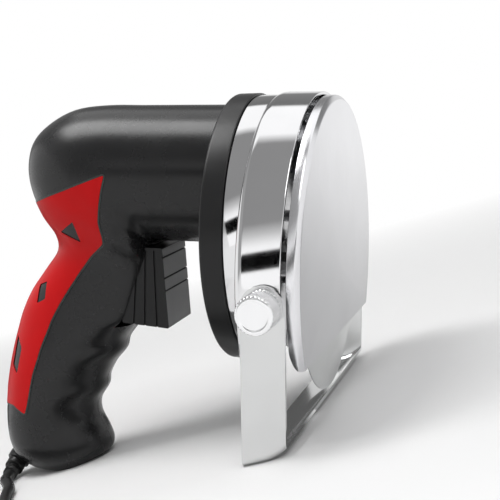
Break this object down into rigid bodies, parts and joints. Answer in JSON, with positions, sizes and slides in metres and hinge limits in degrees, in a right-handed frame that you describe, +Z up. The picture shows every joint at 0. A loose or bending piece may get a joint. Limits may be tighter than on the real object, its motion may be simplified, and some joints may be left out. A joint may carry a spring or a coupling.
{
  "type": "electric kebab slicer",
  "caption": "Motor-driven pistol-grip slicer with a round guarded blade, a U-shaped thickness bracket on thumb knobs and a coiled mains cord.",
  "frame": {"origin": "centre of the tool's footprint on the table, cord left out", "axes": "+X towards the blade end, +Y across the tool away from the side shown in the picture, +Z up; the tool stands nose down by 17.4 degrees on the heel of its grip and on its bracket"},
  "size_m": [0.2217, 0.3459, 0.1611],
  "materials": {
    "black_plastic": "satin moulded",
    "red_grip": "satin moulded",
    "dark_grey_plastic": "matte moulded",
    "polished_steel": "polished",
    "satin_steel": "satin",
    "white_nylon": "natural",
    "black_rubber": "matte",
    "pin_brass": "plain"
  },
  "bodies": {
    "base": {"housing_near": "black_plastic", "housing_far": "black_plastic", "gear_case": "black_plastic", "grip_insert": "red_grip", "switch_block": "dark_grey_plastic", "motor_end_bell": "dark_grey_plastic", "plug_body": "dark_grey_plastic", "neck_ring": "polished_steel", "blade_drum": "polished_steel", "front_guard": "satin_steel", "guard_post_1": "satin_steel", "guard_post_2": "satin_steel", "guard_post_3": "satin_steel", "spindle_bearing_rear": "satin_steel", "spindle_bearing_front": "satin_steel", "motor_bearing_front": "satin_steel", "motor_stator": "satin_steel", "trigger_pin": "satin_steel", "case_screw_1": "satin_steel", "case_screw_2": "satin_steel", "case_screw_3": "satin_steel", "case_screw_4": "satin_steel", "drum_screw_1": "satin_steel", "drum_screw_2": "satin_steel", "drum_screw_3": "satin_steel", "housing_screw_1": "satin_steel", "housing_screw_2": "satin_steel", "housing_screw_3": "satin_steel", "housing_screw_4": "satin_steel", "stud_near": "satin_steel", "stud_far": "satin_steel", "bearing_carrier": "satin_steel", "strain_relief": "black_rubber", "mains_cord": "black_rubber", "cord_coil": "black_rubber", "cord_tie": "black_rubber", "plug_lead": "black_rubber", "brush_upper": "pin_brass", "brush_lower": "pin_brass", "plug_pin_left": "pin_brass", "plug_pin_right": "pin_brass"},
    "blade_rotor": {"blade_spindle": "satin_steel", "blade": "satin_steel", "blade_hub": "satin_steel", "blade_nut": "satin_steel", "drive_gear": "white_nylon"},
    "motor_rotor": {"motor_armature": "dark_grey_plastic", "motor_fan": "dark_grey_plastic", "motor_pinion": "satin_steel"},
    "trigger_lever": {"trigger": "dark_grey_plastic"},
    "switch_button": {"switch_plunger": "dark_grey_plastic"},
    "bracket": {"thickness_bracket": "satin_steel"},
    "thumb_knob_near": {"knob_near": "polished_steel"},
    "thumb_knob_far": {"knob_far": "polished_steel"}
  },
  "joints": [
    {"name": "blade_spin", "type": "hinge", "parent": "base", "child": "blade_rotor", "pos_m": [0.07854, 0, 0.06039], "axis": [0.9542, 0, -0.299], "continuous": true},
    {"name": "motor_spin", "type": "hinge", "parent": "base", "child": "motor_rotor", "pos_m": [-0.01371, 0, 0.13017], "axis": [0.9542, 0, -0.299], "continuous": true},
    {"name": "trigger_pull", "type": "hinge", "parent": "base", "child": "trigger_lever", "pos_m": [-0.00265, 0, 0.08846], "axis": [0, 1, 0], "range_deg": [0, 10], "stiffness_Nm_per_rad": 0.6, "springref_deg": -11.46},
    {"name": "switch_press", "type": "slide", "parent": "base", "child": "switch_button", "axis": [-0.9542, 0, 0.299], "range_m": [0, 0.0037]},
    {"name": "slice_thickness", "type": "slide", "parent": "base", "child": "bracket", "axis": [0.9542, 0, -0.299], "range_m": [-0.004, 0.004]},
    {"name": "knob_near_turn", "type": "hinge", "parent": "base", "child": "thumb_knob_near", "pos_m": [0.06785, -0.0778, 0.05871], "axis": [0, -1, 0], "range_deg": [0, 360]},
    {"name": "knob_far_turn", "type": "hinge", "parent": "base", "child": "thumb_knob_far", "pos_m": [0.06785, 0.0778, 0.05871], "axis": [0, 1, 0], "range_deg": [0, 360]}
  ],
  "couplings": [
    {"joint": "motor_spin", "follows": "blade_spin", "ratio": -3.7273},
    {"joint": "switch_press", "follows": "trigger_pull", "m_per_rad": 0.0203}
  ]
}
